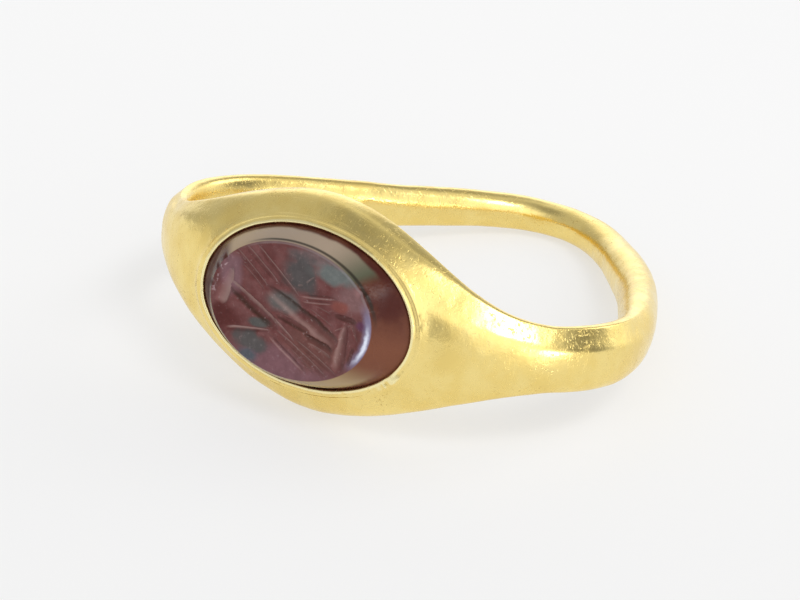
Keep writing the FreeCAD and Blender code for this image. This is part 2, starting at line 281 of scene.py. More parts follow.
def hammered_line(line, start, count):
    """Evenly spaced places of the middle line with their outward directions. The joins of its bends and
    runs are eased, as hammering round a rod leaves them, and the ring keeps its size."""
    round_length = sum(part.length for part in line)
    points = [point_at(line, (start + i * round_length / count) % round_length) for i in range(count)]
    # Softening also draws the line inwards, and the difference to a second softening gives that back.
    once = softened(points)
    points = [2 * near - far for near, far in zip(once, softened(once))]
    places = []
    for i, point in enumerate(points):
        along = points[(i + 1) % count] - points[i - 1]
        places.append((point, Vector((along.y, -along.x, 0)).normalized()))
    return places


# The hoop's sections. A station is the length along the middle line from the middle of the head round
# by the right, and a distance is the length from the middle of the head by the shorter side.

# The soft ridge where each shoulder's upper facet meets its front: at distances from the middle of the
# head, its height as a share of the half width, and the share where the facet ends at the upper edge
RIGHT_RIDGE_SHARES = [(4.5, 0.55), (7.3, 0.54), (9.5, 0.50), (12.5, 0.38), (16.0, 0.30)]
LEFT_RIDGE_SHARES = [(4.5, 0.64), (6.3, 0.72), (8.3, 0.72), (12.5, 0.60), (16.0, 0.50)]
FACET_TOP_SHARE = 0.985
RIDGE_SOFTNESS = 0.028
RIDGE_START, RIDGE_END, RIDGE_FADE = 3.6, 17.0, 2.6


def swell(distance, reach):
    """One at the middle of the head, falling smoothly to zero at the given reach."""
    return math.cos(math.pi / 2 * min(distance / reach, 1)) ** 2


def towards_back(distance, half_round):
    """Zero on the shoulders, rising smoothly to one in the middle of the back."""
    return eased((distance - WIDTH_SWELL) / (half_round - WIDTH_SWELL))


def bar_section(distance, half_round):
    """The bar's half width and its reach out and in, at a distance from the middle of the head."""
    back = towards_back(distance, half_round)
    width = SIDE_WIDTH + (BACK_WIDTH - SIDE_WIDTH) * back
    width += (HEAD_WIDTH - SIDE_WIDTH) * swell(distance, WIDTH_SWELL)
    side = SIDE_THICKNESS / 2
    plain = side + (BACK_THICKNESS / 2 - side) * back
    thicker = swell(distance, THICKNESS_SWELL)
    return width / 2, plain + (HEAD_OUTSIDE - side) * thicker, plain + (HEAD_INSIDE - side) * thicker


def extra_metal(station, round_length, up):
    """What hammering left over at a station, on the half width, the outside and the inside."""
    flank = bell(station - FLANK_STATION, FLANK_SPREAD)
    at_back = eased(1 - abs(station / round_length - 0.5) / BACK_SHARE)
    wider = FLANK_RISE * flank
    if up > 0:
        wider += EDGE_RISE * bell(station - EDGE_STATION, EDGE_SPREAD)
    if up < 0:
        distance = min(station, round_length - station)
        tilt = EDGE_TILT * math.sin(math.pi / 2 * min(distance / TILT_STATION, 2))
        wider += (tilt if station < round_length / 2 else -tilt) + BACK_DROP * at_back
    return wider, FLANK_OUTSIDE * flank, FLANK_INSIDE * flank + BACK_INSIDE * at_back


def crest_shift(distance, up):
    """How far inside the middle line the crest of the section lies, fading out in the lower half."""
    later = eased((distance - CREST_START) / (CREST_END - CREST_START))
    shift = HEAD_CREST + (BACK_CREST - HEAD_CREST) * later
    return shift * eased((up + CREST_BLEND_SHARE) / (2 * CREST_BLEND_SHARE))


def section_shape(corner, distance, half_round):
    """How far out and up a point of the section lies, from -1 to 1, at an angle round it."""
    power = SECTION_POWER
    if math.cos(corner) < 0:
        power = INNER_POWER
        if corner > 0:
            rounder = eased((distance - WIDTH_SWELL) / (half_round - WIDTH_SWELL) * INNER_HASTE)
            power += (BACK_POWER - INNER_POWER) * rounder
    across = math.copysign(abs(math.cos(corner)) ** (2 / power), math.cos(corner))
    up = math.copysign(abs(math.sin(corner)) ** (2 / power), math.sin(corner))
    return across, up


def share_at(table, distance):
    """A share read from a table of distances, in straight steps between them."""
    for (first, low), (last, high) in zip(table, table[1:]):
        if distance <= last:
            return low + (high - low) * min(max((distance - first) / (last - first), 0), 1)
    return table[-1][1]


def faceted(across, up, distance, ridge_shares):
    """Planes the outer upper quarter of the bar's section down to a facet above the ridge."""
    if across <= 0 or up <= 0:
        return across
    ridge = share_at(ridge_shares, distance)
    ridge_across = (1 - ridge**SECTION_POWER) ** (1 / SECTION_POWER)
    top_across = (1 - FACET_TOP_SHARE**SECTION_POWER) ** (1 / SECTION_POWER)
    plane = ridge_across + (top_across - ridge_across) * (up - ridge) / (FACET_TOP_SHARE - ridge)
    planed = across - soft_above(across - plane, RIDGE_SOFTNESS)
    here = eased((distance - RIDGE_START) / RIDGE_FADE) * eased((RIDGE_END - distance) / RIDGE_FADE)
    return across + (max(planed, 0) - across) * here


# The head's metal round the collar, by levels of the setting's frame

# Its level at the collar, its step down from there and how far that reaches, with more reach round the
# low right, and how it then slopes and curves away
RIM_LEVEL, RIM_STEP, RIM_REACH, RIM_WIDER = -0.02, 0.33, 0.26, 0.3
RIM_WIDE_TURN = math.radians(-20)
RIM_SLOPE, RIM_CURVE = 0.35, 0.3
RIM_SOFTNESS = 0.07

# Nothing is raised below this level, and no place counts as nearer the setting's axis than this share
FLARE_FLOOR = -3
NEAREST_SHARE = 0.05


def lower_share(y):
    """The lower half of the stone's seat is a little flatter than the upper."""
    return LOWER_SHARE if y < 0 else 1


def collar_distance(point):
    """How far a point of the setting's frame lies outside the collar's outer wall, near enough."""
    share = math.hypot(point.x / COLLAR_OUTER.x, point.y / (COLLAR_OUTER.y * lower_share(point.y)))
    return math.hypot(point.x, point.y) * (1 - 1 / max(share, NEAREST_SHARE))


def rim_level(distance, turn):
    """How high the head's metal reaches at a distance beyond the collar."""
    wide = 0.5 + 0.5 * math.cos(turn - RIM_WIDE_TURN)
    reach = RIM_REACH + RIM_WIDER * wide**2
    beyond = max(distance, 0)
    step = RIM_STEP * (1 - math.exp(-beyond / reach))
    return RIM_LEVEL - step - RIM_SLOPE * beyond - RIM_CURVE * beyond**2


def flare(point, outer_share):
    """The head's metal rises softly to the collar's rim."""
    spot = RING_TO_SETTING @ point
    if outer_share <= 0 or spot.z < FLARE_FLOOR:
        return point
    turn = math.atan2(spot.y / GIRDLE.y, spot.x / GIRDLE.x)
    lift = rim_level(collar_distance(spot), turn) - spot.z
    spot.z += eased(2 * outer_share) * soft_above(lift, RIM_SOFTNESS)
    return SETTING_TO_RING @ spot


# The hoop's wear: what it has taken off all over, and the unevenness of hand work
WORN_AWAY = 0.06
BAR_UNEVENNESS = [(0.04, 0.32, 3), (0.014, 0.9, 11), (0.005, 2.2, 17)]

# Dents and creases of the worn hoop, in the ring's frame: place, reach across, reach along Z, depth
DENTS = [
    ((-9.6, -5.2, 1.6), (1.3, 0.16), 0.10),
    ((-8.6, -6.4, 1.2), (0.9, 0.18), 0.08),
]


def worn(point, outward):
    """Gentle unevenness of hand work and the dents of wear."""
    uneven = unevenness(point, BAR_UNEVENNESS) - WORN_AWAY
    for place, (across, along), depth in DENTS:
        step = point - Vector(place)
        far = (step.x**2 + step.y**2) / across**2 + step.z**2 / along**2
        uneven -= depth * math.exp(-far)
    return point + outward * uneven


def bar_point(corner, station, round_length, place):
    """The point of the bar's skin at an angle round its section, at a station with its place."""
    centre, outward = place
    half_round = round_length / 2
    distance = min(station, round_length - station)
    across, up = section_shape(corner, distance, half_round)
    across = faceted(across, up, distance, RIGHT_RIDGE_SHARES if station < half_round else LEFT_RIDGE_SHARES)
    half_width, outside, inside = bar_section(distance, half_round)
    more_width, more_outside, more_inside = extra_metal(station, round_length, up)
    crest = crest_shift(distance, up)
    reach = outside + more_outside + crest if across > 0 else inside + more_inside - crest
    rise = Vector((0, 0, (half_width + more_width) * up))
    point = centre + outward * (reach * across - crest) + rise
    normal = (outward * across + Vector((0, 0, up))).normalized()
    return flare(worn(point, normal), across)


def make_hoop():
    """The bar: a torus whose every section is carried to its station, then worn and cut for the cell."""
    bpy.ops.mesh.primitive_torus_add(
        major_segments=BAR_SEGMENTS, minor_segments=SECTION_SEGMENTS, major_radius=BACK_REACH, minor_radius=1
    )
    hoop = take("ring_hoop")
    bpy.ops.object.mode_set(mode="EDIT")
    bpy.ops.mesh.select_all(action="SELECT")
    bpy.ops.mesh.subdivide(number_cuts=1)
    bpy.ops.object.mode_set(mode="OBJECT")
    line = middle_line()
    round_length = sum(part.length for part in line)
    places = hammered_line(line, round_length - line[-1].end.x, 2 * BAR_SEGMENTS)
    for vertex in hoop.data.vertices:
        x, y, z = vertex.co
        share = (math.atan2(y, x) / (2 * math.pi) + 0.25) % 1
        corner = math.atan2(z, math.hypot(x, y) - BACK_REACH)
        place = places[round(share * len(places)) % len(places)]
        vertex.co = bar_point(corner, share * round_length, round_length, place)
    cut_cell(hoop)
    smooth(hoop, HOOP_SHARP)
    settle(hoop, RING)
    return hoop


def cut_cell(hoop):
    """The stepped oval hollow: a well for the cement and the stone under a wider recess for the collar."""
    well = COLLAR_OUTER - Vector((1, 1)) * LEDGE
    depth = COLLAR_FOOT - CELL_FLOOR
    middle = (0, 0, CELL_FLOOR + depth / 2)
    bpy.ops.mesh.primitive_cylinder_add(
        vertices=CELL_SEGMENTS, radius=1, depth=depth, location=middle, scale=(well.x, well.y, 1)
    )
    cell = take("cell")
    bpy.ops.object.transform_apply(location=True, rotation=True, scale=True)
    bpy.ops.object.mode_set(mode="EDIT")
    bpy.ops.mesh.select_mode(type="FACE")
    bpy.ops.mesh.select_all(action="DESELECT")
    bpy.ops.object.mode_set(mode="OBJECT")
    for face in cell.data.polygons:
        face.select = round(face.normal.z) == 1
    bpy.ops.object.mode_set(mode="EDIT")
    bpy.ops.mesh.extrude_region_move(TRANSFORM_OT_translate={"value": (0, 0, 0)})
    wider = (COLLAR_OUTER.x / well.x, COLLAR_OUTER.y / well.y, 1)
    bpy.ops.transform.resize(value=wider, center_override=(0, 0, 0))
    bpy.ops.mesh.extrude_region_move(TRANSFORM_OT_translate={"value": (0, 0, CELL_HEIGHT)})
    bpy.ops.object.mode_set(mode="OBJECT")
    for vertex in cell.data.vertices:
        vertex.co.y *= lower_share(vertex.co.y)
    cell.matrix_world = SETTING_TO_RING
    bpy.ops.object.transform_apply(location=True, rotation=True, scale=True)
    carve(hoop, cell)


# The collar

# The torus that it is shaped from
BLANK_RADIUS = 4

# The angle round the blank up to which it becomes the wall, the share of the height that the wall takes,
# and the share from which it leans into the lip
WALL_CORNER = math.radians(30)
WALL_SHARE, LIP_START_SHARE = 0.9, 0.375

# The open butt joint of the strip
SEAM_TURN, SEAM_WIDTH, SEAM_DEPTH = math.radians(-66), 0.06, 0.04

# How the lip lies on the sloping crown: the levels of its inner edge and its crest, how much higher up the
# crown its inner edge is pressed, the width of its rounded bead, and how blunt the bead is inside
LIP_INNER_LEVEL, LIP_CREST_LEVEL, LIP_PRESS = -0.03, 0.1, 0.03
LIP_BEAD, LIP_BLUNTNESS = 0.24, 0.6
LIP_UNEVENNESS = [(1, 2.5, 5), (0.6, 8, 9)]
CREST_UNEVEN, BEAD_UNEVEN_SHARE = 0.015, 0.15

# The apron where the lip thins out over the head's metal: its reach, how far it stands above that metal,
# how much of this it loses on the way, and how deep its underside goes
LIP_APRON, APRON_RISE, APRON_LOSS, APRON_DEPTH = 0.35, 0.014, 0.02, 0.05

# The low right stretch where the lip was hammered down broad, and its lumps
BROAD_TURN, BROAD_SPREAD = math.radians(-38), 0.24
BROAD_REACH, BROAD_RISE = 0.1, 0.07
BROAD_LUMPS = [(0.12, 22, 31), (0.084, 45, 37)]


def collar_section(corner):
    """One point of the collar's section: how far across its wall, from -1 inside to 1 outside, and how
    high, from 0 at the foot to 1 at the top. The corner runs round from the middle of the outer wall."""
    if abs(abs(corner) - math.pi / 2) > math.pi / 2 - WALL_CORNER:
        outside = abs(corner) < math.pi / 2
        rise = corner if outside else math.copysign(math.pi, corner) - corner
        return (1 if outside else -1), WALL_SHARE / 2 * (1 + rise / WALL_CORNER)
    across = 1 - 2 * (abs(corner) - WALL_CORNER) / (math.pi - 2 * WALL_CORNER)
    return across, 1 if corner > 0 else 0


def crown_inset(direction, level):
    """How far inside the girdle the stone's crown lies at a level, in a direction from its middle."""
    long_run = GIRDLE.x - FACE.x
    short_run = GIRDLE.y * lower_share(direction.y) - FACE.y - math.copysign(FACE_UP, direction.y)
    run = long_run * direction.x**2 + short_run * direction.y**2
    return run * max(level - GIRDLE_LEVEL, 0) / (FACE_LEVEL - GIRDLE_LEVEL)


def lip_level(from_inner, apron, uneven):
    """How high the lip stands at a distance from its inner edge: a bead that runs out into the apron."""
    off = from_inner / (LIP_BEAD * (1 + BEAD_UNEVEN_SHARE * uneven)) - 0.5
    bead = max(1 - (2 * off) ** 2, 0) ** (LIP_BLUNTNESS if off < 0 else 1)
    low = LIP_INNER_LEVEL if off < 0 else apron
    crest = LIP_CREST_LEVEL + CREST_UNEVEN * uneven
    return low + (crest - low) * bead


def collar_point(turn, across, rise):
    """The point of the collar at a turn round it, across its wall and up it."""
    direction = Vector((math.cos(turn), math.sin(turn), 0))
    broad = bell(turned_from(turn, BROAD_TURN), BROAD_SPREAD)
    inner_reach = -crown_inset(direction, LIP_INNER_LEVEL + LIP_PRESS)
    outer_reach = COLLAR_REACH + LIP_APRON + broad * BROAD_REACH
    lip = eased((rise - LIP_START_SHARE) / (1 - LIP_START_SHARE))
    lip_reach = inner_reach + (outer_reach - inner_reach) * (across + 1) / 2
    reach = COLLAR_ROOM + COLLAR_WALL * (across + 1) / 2
    reach += (lip_reach - reach) * lip
    beyond = reach - COLLAR_REACH
    apron = rim_level(beyond, turn) + APRON_RISE - APRON_LOSS * max(beyond, 0) / LIP_APRON
    apron += broad * (BROAD_RISE + unevenness(direction, BROAD_LUMPS)) * eased(1 - beyond / LIP_APRON)
    # The top carries the lip's bead, and all below it stays under the apron.
    if rise < 1:
        level = min(COLLAR_FOOT + (COLLAR_TOP - COLLAR_FOOT) * rise, apron - APRON_DEPTH)
    else:
        level = lip_level(reach - inner_reach, apron, unevenness(direction, LIP_UNEVENNESS))
    level -= lip * SEAM_DEPTH * bell(turned_from(turn, SEAM_TURN) * GIRDLE.y, SEAM_WIDTH)
    half_width = GIRDLE.y * lower_share(direction.y)
    return Vector(((GIRDLE.x + reach) * direction.x, (half_width + reach) * direction.y, level))


def make_collar():
    """The strip round the stone, its lip rubbed over the girdle and out onto the head's metal."""
    bpy.ops.mesh.primitive_torus_add(
        major_segments=COLLAR_SEGMENTS,
        minor_segments=WALL_SEGMENTS,
        major_radius=BLANK_RADIUS,
        minor_radius=1,
    )
    collar = take("stone_collar")
    for vertex in collar.data.vertices:
        x, y, z = vertex.co
        across, rise = collar_section(math.atan2(z, math.hypot(x, y) - BLANK_RADIUS))
        vertex.co = collar_point(math.atan2(y, x), across, rise)
    smooth(collar, COLLAR_SHARP)
    settle(collar, SETTING)
    return collar


# The stone

# Cuts of the engraver's wheel in the setting's frame: start, end, width at both ends, depth, how much paler
# the painted light makes the wall on the left of the run than the painted shade makes the wall on its right,
# and how much paler painted light makes the whole cut
WHEEL_CUTS = [
    # The upper hooked bolt
    ((-2.88, 1.26), (-3.40, -0.34), (0.34, 0.80), 0.15, 0.35, 0.60),
    ((-3.30, 0.72), (-0.45, -0.75), (0.62, 0.66), 0.19, 1.00, 0.06),
    ((-1.20, -0.16), (0.34, -1.08), (0.30, 0.20), 0.07, 0.60, 0.35),
    # The lower hooked bolt
    ((-1.40, 0.89), (2.50, -0.81), (0.58, 0.90), 0.18, -0.75, -0.10),
    ((-0.85, -0.10), (1.05, -0.53), (0.34, 0.42), 0.12, 0.65, -0.15),
    ((0.62, -0.66), (2.16, -1.04), (0.34, 0.40), 0.13, -0.20, -0.50),
    ((0.90, -0.93), (2.10, -1.32), (0.16, 0.26), 0.08, 0.20, 0.35),
    ((2.68, 0.30), (2.40, -1.86), (0.40, 0.74), 0.14, -0.45, 0.18),
    ((2.12, -0.20), (2.98, 0.24), (0.12, 0.14), 0.05, 0.10, 0.30),
    ((2.92, 0.26), (3.28, -0.42), (0.14, 0.12), 0.05, 0.10, 0.28),
    ((3.10, -0.62), (2.86, -1.52), (0.20, 0.24), 0.07, 0.20, -0.30),
    ((2.00, 0.44), (3.16, 0.36), (0.24, 0.34), 0.10, 0.10, -0.42),
    # The upper sheaf
    ((-1.98, 2.50), (0.50, 0.66), (0.27, 0.24), 0.06, 0.65, 0.10),
    ((-2.52, 2.36), (-0.52, 0.96), (0.28, 0.24), 0.07, 0.65, 0.08),
    ((-2.14, 2.18), (-0.98, 1.28), (0.12, 0.12), 0.03, 0.40, 0.25),
    ((-3.02, 2.18), (-0.98, 0.68), (0.26, 0.24), 0.07, 0.65, 0.08),
    ((-2.54, 1.54), (-1.26, 0.64), (0.17, 0.15), 0.05, 0.60, 0.10),
    # The lower sheaf
    ((-1.00, -1.02), (1.02, -2.20), (0.26, 0.20), 0.06, -0.65, 0.05),
    ((-0.78, -0.72), (2.04, -2.18), (0.28, 0.24), 0.07, 0.60, 0.10),
    ((0.30, -0.96), (2.52, -2.02), (0.26, 0.22), 0.06, 0.60, 0.06),
    ((0.06, -1.34), (1.40, -2.14), (0.13, 0.12), 0.04, 0.50, 0.05),
    # Side branches
    ((-3.04, -1.24), (-0.80, -0.87), (0.30, 0.16), 0.08, 0.80, 0.35),
    ((0.30, 0.84), (2.20, 1.12), (0.20, 0.18), 0.06, -0.70, 0.12),
    ((0.44, 0.65), (2.00, 0.88), (0.17, 0.15), 0.05, -0.65, 0.12),
    ((1.20, 0.60), (1.96, 0.42), (0.11, 0.11), 0.03, 0.20, 0.22),
    ((0.84, 0.46), (2.12, -0.08), (0.12, 0.11), 0.04, 0.30, 0.22),
    ((0.62, 1.40), (1.02, 1.76), (0.12, 0.10), 0.03, 0.10, 0.30),
    ((0.24, 1.22), (0.52, 1.30), (0.14, 0.12), 0.03, 0.10, 0.30),
]

# How far the edges of the cuts stray, as a share of their half width, how strongly the painted light and
# shade of the walls differ, and how soon the painted light and shade come in from the edges
CUT_STRAY_SHARES = [(0.12, 1.3, 41), (0.07, 4.5, 43)]
WALL_LIGHT_CONTRAST, WALL_SHADING_HASTE = 1.4, 1.6

# Small chips out of the edge of the face: place, reach, depth
CHIPS = [
    ((-3.26, 1.56), 0.13, 0.10),
    ((-3.62, 1.14), 0.11, 0.09),
    ((-3.80, 0.40), 0.13, 0.09),
    ((3.20, 1.58), 0.13, 0.12),
    ((3.74, 1.02), 0.08, 0.06),
]
STONE_UNEVENNESS = [(0.006, 1.3, 7)]

# A row of the stone's skin round its axis
Row = namedtuple("Row", "half_length half_width level middle")


def wheel_mark(x, y):
    """How deep the face is cut at a place, and the painted light and shade of the wall there, from -1
    painted shade to 1 painted light. Each cut is deepest along its middle and runs out at its ends."""
    deepest, pale = 0, 0
    stray = unevenness((x, y, 0), CUT_STRAY_SHARES)
    for (start_x, start_y), (end_x, end_y), (first_width, last_width), depth, tilt, glow in WHEEL_CUTS:
        run_x, run_y = end_x - start_x, end_y - start_y
        from_x, from_y = x - start_x, y - start_y
        length = math.hypot(run_x, run_y)
        along = (from_x * run_x + from_y * run_y) / length**2
        if not 0 < along < 1:
            continue
        half_width = (first_width + (last_width - first_width) * along) / 2
        left = (from_y * run_x - from_x * run_y) / length / half_width + stray
        dip = 1 - (2 * along - 1) ** 4 - left**2
        if depth * dip > deepest:
            deepest = depth * dip
            pale = max(min(tilt * left * WALL_LIGHT_CONTRAST + glow, 1), -1) * min(dip * WALL_SHADING_HASTE, 1)
    return deepest, pale


def stone_rows():
    """The rows below the flat face, from its worn edge down the crown to the girdle and the base."""
    rows = []
    for step in range(1, EDGE_STEPS + 1):
        turn = EDGE_TURN * step / EDGE_STEPS
        out = FACE_EDGE * (math.sin(turn) - 1)
        down = FACE_EDGE * (1 - math.cos(turn))
        rows.append(Row(FACE.x + out, FACE.y + out, FACE_LEVEL - down, FACE_UP))
    edge = rows[-1]
    for step in range(1, CROWN_STEPS + 1):
        share = step / CROWN_STEPS
        bulge = CROWN_BULGE * math.sin(math.pi * share)
        rows.append(Row(
            edge.half_length + (GIRDLE.x - edge.half_length) * share + bulge,
            edge.half_width + (GIRDLE.y - edge.half_width) * share + bulge,
            edge.level + (GIRDLE_LEVEL - edge.level) * share,
            FACE_UP * (1 - share),
        ))
    rows.append(Row(GIRDLE.x, GIRDLE.y, GIRDLE_LEVEL - GIRDLE_THICKNESS, 0))
    rows.append(Row(BASE.x, BASE.y, BASE_LEVEL, 0))
    return rows


def draw_to(row, before):
    """Draws the selected rim of the stone to its next row, with a band of faces between them."""
    step = (0, row.middle - before.middle, row.level - before.level)
    bpy.ops.mesh.extrude_region_move(TRANSFORM_OT_translate={"value": step})
    size = (row.half_length / before.half_length, row.half_width / before.half_width, 1)
    bpy.ops.transform.resize(value=size, center_override=(0, row.middle, 0))


def make_stone():
    """The stone: a fine grid for the engraved face, with its edge, crown, girdle and base drawn from it."""
    bpy.ops.mesh.primitive_grid_add(x_subdivisions=FACE_COLUMNS, y_subdivisions=FACE_ROWS, size=2)
    stone = take("engraved_stone")
    flat = Row(FACE.x - FACE_EDGE, FACE.y - FACE_EDGE, FACE_LEVEL, FACE_UP)
    for vertex in stone.data.vertices:
        u, v, _ = vertex.co
        x = flat.half_length * u * math.sqrt(1 - v * v / 2)
        y = flat.half_width * v * math.sqrt(1 - u * u / 2)
        vertex.co = (x, y + flat.middle, flat.level)
    bpy.ops.object.mode_set(mode="EDIT")
    bpy.ops.mesh.select_mode(type="EDGE")
    bpy.ops.mesh.select_all(action="DESELECT")
    bpy.ops.mesh.select_non_manifold()
    before = flat
    for row in stone_rows():
        draw_to(row, before)
        before = row
    bpy.ops.mesh.edge_face_add()
    bpy.ops.mesh.select_all(action="SELECT")
    bpy.ops.mesh.normals_make_consistent(inside=False)
    bpy.ops.object.mode_set(mode="OBJECT")
    engrave(stone)
    smooth(stone, STONE_SHARP)
    settle(stone, SETTING)
    return stone


def engrave(stone):
    """Flattens the lower side to its seat, and sinks the device, the chips and a faint unevenness into the
    face. The painted light and shade of each cut's walls goes into an attribute for the stone's material."""
    cut_shadings = stone.data.attributes.new("cut_shading", "FLOAT", "POINT")
    lowest_face = FACE_LEVEL - FACE_EDGE / 8
    for vertex, cut_shading in zip(stone.data.vertices, cut_shadings.data):
        x, y, z = vertex.co
        down = eased((FACE_LEVEL - z) / (FACE_LEVEL - GIRDLE_LEVEL))
        vertex.co.y = y * (1 + (lower_share(y) - 1) * down)
        if z < GIRDLE_LEVEL:
            continue
        depth, cut_shading.value = wheel_mark(x, y) if z > lowest_face else (0, 0)
        for (chip_x, chip_y), reach, chip_depth in CHIPS:
            depth += chip_depth * bell(math.hypot(x - chip_x, y - chip_y), reach)
        vertex.co.z = z - depth + unevenness((x, y, z), STONE_UNEVENNESS)


# Shader helpers


def add(tree, kind, inputs=None, **settings):
    """A node with its settings, and its inputs set or linked."""
    made = tree.nodes.new(kind)
    for name, value in settings.items():
        setattr(made, name, value)
    for name, value in (inputs or {}).items():
        if isinstance(value, bpy.types.NodeSocket):
            tree.links.new(value, made.inputs[name])
        else:
            made.inputs[name].default_value = value
    return made


def maths(tree, operation, *values):
    """The result of one operation on values."""
    return add(tree, "ShaderNodeMath", dict(enumerate(values)), operation=operation).outputs[0]


def times(tree, first, second):
    """The product of two values, such as a mask and its strength."""
    return maths(tree, "MULTIPLY", first, second)


def vectors(tree, operation, first, second):
    """The result of one operation on two vectors, or on one and a number to scale it by."""
    inputs = {0: first, "Scale" if operation == "SCALE" else 1: second}
    made = add(tree, "ShaderNodeVectorMath", inputs, operation=operation)
    return made.outputs["Value" if operation == "DOT_PRODUCT" else "Vector"]


def blend(tree, mask, first, second, way="MIX"):
    """The first colour where the mask is zero and the second where it is one."""
    inputs = {0: mask, 6: first, 7: second}
    return add(tree, "ShaderNodeMix", inputs, data_type="RGBA", blend_type=way).outputs[2]


def ranged(tree, value, low, high, to_low=0.0, to_high=1.0):
    """A smooth step of a value."""
    inputs = {0: value, 1: low, 2: high, 3: to_low, 4: to_high}
    return add(tree, "ShaderNodeMapRange", inputs, interpolation_type="SMOOTHSTEP").outputs[0]


def band(tree, value, low, high, soft):
    """A mask that is one between two values, with soft ends."""
    rise = ranged(tree, value, low - soft, low + soft)
    fall = ranged(tree, value, high - soft, high + soft, 1.0, 0.0)
    return times(tree, rise, fall)


def clouds(tree, vector, scale, detail=3.0, roughness=0.5):
    """Soft noise from zero to one, with about as many features per unit as the scale says."""
    inputs = {"Vector": vector, "Scale": scale, "Detail": detail, "Roughness": roughness}
    return add(tree, "ShaderNodeTexNoise", inputs).outputs[0]


def mottled(tree, vector, scale, low, high, detail=3.0, roughness=0.5, to_low=0.0, to_high=1.0):
    """Clouds with more contrast: one value below the low cloud level and the other above the high one."""
    return ranged(tree, clouds(tree, vector, scale, detail, roughness), low, high, to_low, to_high)


def wobble(tree, vector, scale, amount, detail=3.0):
    """Signed clouds, as strong as the amount."""
    return times(tree, maths(tree, "SUBTRACT", clouds(tree, vector, scale, detail), 0.5), amount)


def relieve(tree, shader, height, depth):
    """Gives a shader's surface a height, of which one shows as a depth in millimetres."""
    bump = add(tree, "ShaderNodeBump", {"Height": height, "Distance": depth * MM, "Strength": 1.0})
    tree.links.new(bump.outputs[0], shader.inputs["Normal"])


def colour(red, green, blue):
    """A colour as the shaders' sockets take it."""
    return (red, green, blue, 1)


def new_group(name, inputs, outputs):
    """An empty node group with its sockets, and its input and output nodes."""
    tree = bpy.data.node_groups.new(name, "ShaderNodeTree")
    for title, kind, value in inputs:
        tree.interface.new_socket(title, in_out="INPUT", socket_type=kind).default_value = value
    for title, kind in outputs:
        tree.interface.new_socket(title, in_out="OUTPUT", socket_type=kind)
    return tree, add(tree, "NodeGroupInput"), add(tree, "NodeGroupOutput")


def use_group(tree, group, **inputs):
    """A group placed in a tree. An underscore in an input's name stands for a blank."""
    made = add(tree, "ShaderNodeGroup", node_tree=group)
    for name, value in inputs.items():
        socket = made.inputs[name.replace("_", " ").capitalize()]
        if isinstance(value, bpy.types.NodeSocket):
            tree.links.new(value, socket)
        else:
            socket.default_value = value
    return made


def own_place(tree, place):
    """A point's place in millimetres in the frame of the piece, whichever way the ring is turned."""
    spot = add(tree, "ShaderNodeTexCoord").outputs["Object"]
    inputs = {
        "Vector": spot,
        "Location": place.to_translation() * MM,
        "Rotation": place.to_euler(),
        "Scale": (MM, MM, MM),
    }
    return add(tree, "ShaderNodeMapping", inputs, vector_type="TEXTURE").outputs[0]


def new_material(name):
    """A material with an empty tree, its surface shader and its output."""
    material = bpy.data.materials.new(name)
    material.use_nodes = True
    tree = material.node_tree
    tree.nodes.clear()
    shader = add(tree, "ShaderNodeBsdfPrincipled")
    add(tree, "ShaderNodeOutputMaterial", {"Surface": shader.outputs[0]})
    return material, tree, shader


# Effects that are shared

# How strongly the pits' cells are swirled, and the distances from a cell's middle where its pit begins
# and is deepest
SWIRL_SCALE, SWIRL_REACH = 4.0, 0.5
PIT_EDGE, PIT_MIDDLE = 0.42, 0.1

# The fine scratches run three ways: how each is turned and how its clouds are stretched
SCRATCH_WAYS = [
    ((0.3, 0.2, 0.9), (1, 14, 5)),
    ((1.1, 0.7, 2.2), (14, 1, 6)),
    ((0.2, 1.3, 0.4), (6, 12, 1)),
]


def hand_wear_group():
    """Marks of use on metal: small pits, fine scratches and broad cloudy areas."""
    tree, come, go = new_group(
        "hand_wear",
        [
            ("Vector", "NodeSocketVector", (0, 0, 0)),
            ("Pit scale", "NodeSocketFloat", 3.0),
            ("Pit share", "NodeSocketFloat", 0.3),
            ("Scratch scale", "NodeSocketFloat", 6.0),
        ],
        [("Pits", "NodeSocketFloat"), ("Scratches", "NodeSocketFloat"), ("Clouds", "NodeSocketFloat")],
    )
    vector, pit_scale, pit_share, scratch_scale = list(come.outputs)[:4]

    swirl = add(tree, "ShaderNodeTexNoise", {"Vector": vector, "Scale": SWIRL_SCALE, "Detail": 3.0})
    swirl = vectors(tree, "SUBTRACT", swirl.outputs["Color"], (0.5, 0.5, 0.5))
    ragged = vectors(tree, "ADD", vector, vectors(tree, "SCALE", swirl, SWIRL_REACH))
    cells = add(tree, "ShaderNodeTexVoronoi", {"Vector": ragged, "Scale": pit_scale})
    chance = add(tree, "ShaderNodeSeparateColor", {0: cells.outputs["Color"]}).outputs[0]
    chosen = maths(tree, "GREATER_THAN", pit_share, chance)
    hollow = ranged(tree, cells.outputs["Distance"], PIT_EDGE, PIT_MIDDLE)
    patchy = mottled(tree, vector, scale=0.55, low=0.48, high=0.66)
    tree.links.new(times(tree, times(tree, chosen, hollow), patchy), go.inputs["Pits"])

    scratches = 0.0
    for turn, stretch in SCRATCH_WAYS:
        drawn = add(tree, "ShaderNodeMapping", {"Vector": vector, "Rotation": turn, "Scale": stretch})
        fine = vectors(tree, "SCALE", drawn.outputs[0], scratch_scale)
        lines = mottled(tree, fine, scale=0.16, low=0.66, high=0.74, detail=1.0)
        scratches = maths(tree, "MAXIMUM", scratches, lines)
    tree.links.new(scratches, go.inputs["Scratches"])

    cloudy = mottled(tree, vector, scale=0.7, low=0.32, high=0.68, detail=4.0, roughness=0.6)
    tree.links.new(cloudy, go.inputs["Clouds"])
    return tree


# The distances from a patch's middle, as shares of its reach, where it begins and is full
PATCH_EDGE, PATCH_FULL = 1.3, 0.55


